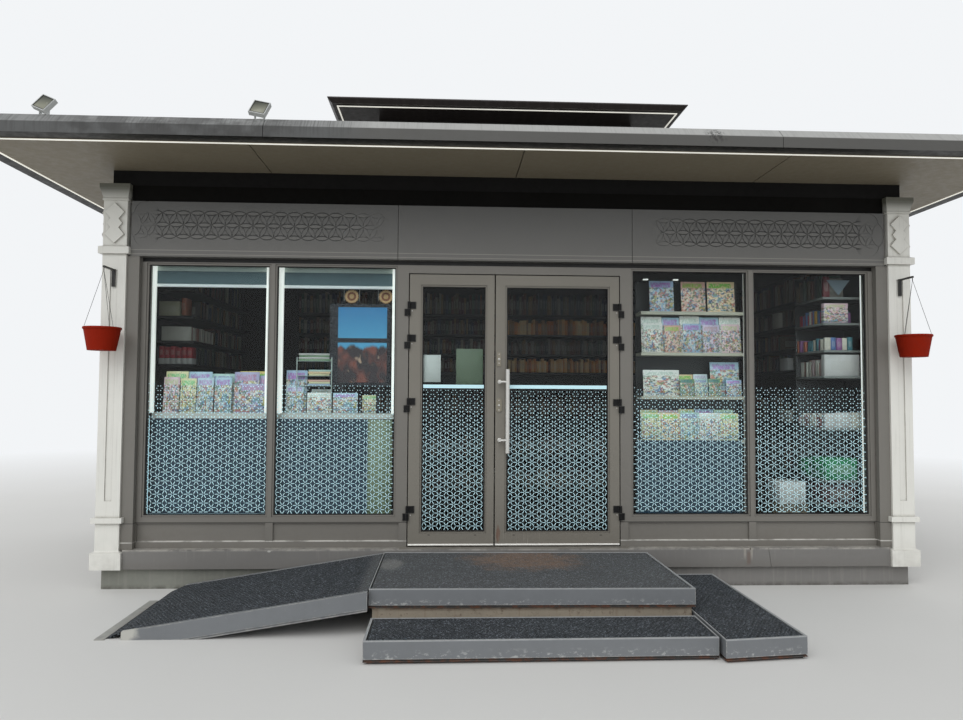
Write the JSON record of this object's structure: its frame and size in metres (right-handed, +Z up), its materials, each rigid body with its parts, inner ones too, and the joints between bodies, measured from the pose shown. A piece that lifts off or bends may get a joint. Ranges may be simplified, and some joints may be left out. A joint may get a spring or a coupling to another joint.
{
  "type": "street kiosk",
  "caption": "Glazed street kiosk with white corner pilasters, wide flat canopy, raised middle roof, double door, steps and ramp.",
  "frame": {"origin": "on the ground under the middle of the plinth", "axes": "+X to the right along the front, +Y from the front into the kiosk, +Z up"},
  "size_m": [7.83, 5.473, 4.12],
  "materials": {
    "concrete": "rough cast concrete, grey paint on its right part",
    "taupe_metal": "satin powder coat, dusty",
    "floor_sheet": "hard-wearing sheet floor",
    "white_paint": "satin white paint on moulded sheet",
    "glass": "clear double glazing",
    "aluminium": "satin",
    "black_metal": "satin black",
    "dark_metal": "dark brown powder coat",
    "white_board": "white laminated board",
    "light_strip": "white diffuser",
    "roof_membrane": "grey roofing membrane",
    "grey_steel": "worn grey paint",
    "rusty_steel": "rusted bare steel",
    "rubber_mat": "black honeycomb ring mat",
    "terracotta": "matte terracotta",
    "counter_board": "blue-grey laminated board",
    "screen_black": "black frame round a printed sheet",
    "shelf_board": "dark brown laminated board",
    "blind_fabric": "blue-grey roller blind"
  },
  "bodies": {
    "root": {"plinth": "concrete", "base_band": "taupe_metal", "floor": "floor_sheet", "corner_pilasters": "white_paint", "window_frames": "taupe_metal", "window_glass": "glass", "apron_panels": "taupe_metal", "head_flashing": "black_metal", "door_posts": "taupe_metal", "door_head": "taupe_metal", "door_threshold": "aluminium", "frame_hinges": "black_metal", "ornament_panels": "taupe_metal", "centre_sign_panel": "taupe_metal", "frieze": "dark_metal", "side_walls": "taupe_metal", "rear_wall": "taupe_metal", "ceiling": "white_board", "roof_neck": "black_metal", "soffit": "taupe_metal", "roof_fascia": "taupe_metal", "soffit_strips": "light_strip", "roof_deck": "roof_membrane", "upper_roof_walls": "dark_metal", "upper_roof": "dark_metal", "floodlights": "grey_steel", "planter_brackets": "black_metal", "pot_hangers": "black_metal", "hanging_pots": "terracotta", "landing_frame": "grey_steel", "landing_support": "rusty_steel", "step_frames": "grey_steel", "ramp_frame": "grey_steel", "rubber_mats": "rubber_mat", "counter_panel": "counter_board", "window_ledge": "white_board", "display_screen": "screen_black", "display_rack": "white_board", "shelf_boards": "shelf_board", "window_lamps": "light_strip", "window_blinds": "blind_fabric"},
    "left_leaf": {"left_door_leaf": "taupe_metal", "left_door_glass": "glass", "left_leaf_hinges": "black_metal"},
    "right_leaf": {"right_door_leaf": "taupe_metal", "right_door_glass": "glass", "right_leaf_hinges": "black_metal", "pull_handle": "aluminium", "lock_plates": "black_metal"}
  },
  "joints": [
    {"name": "left_door_hinge", "type": "hinge", "parent": "root", "child": "left_leaf", "pos_m": [-0.842, -1.4425, 0], "axis": [0, 0, -1], "range_deg": [0, 95]},
    {"name": "right_door_hinge", "type": "hinge", "parent": "root", "child": "right_leaf", "pos_m": [0.842, -1.4425, 0], "axis": [0, 0, 1], "range_deg": [0, 95]}
  ]
}
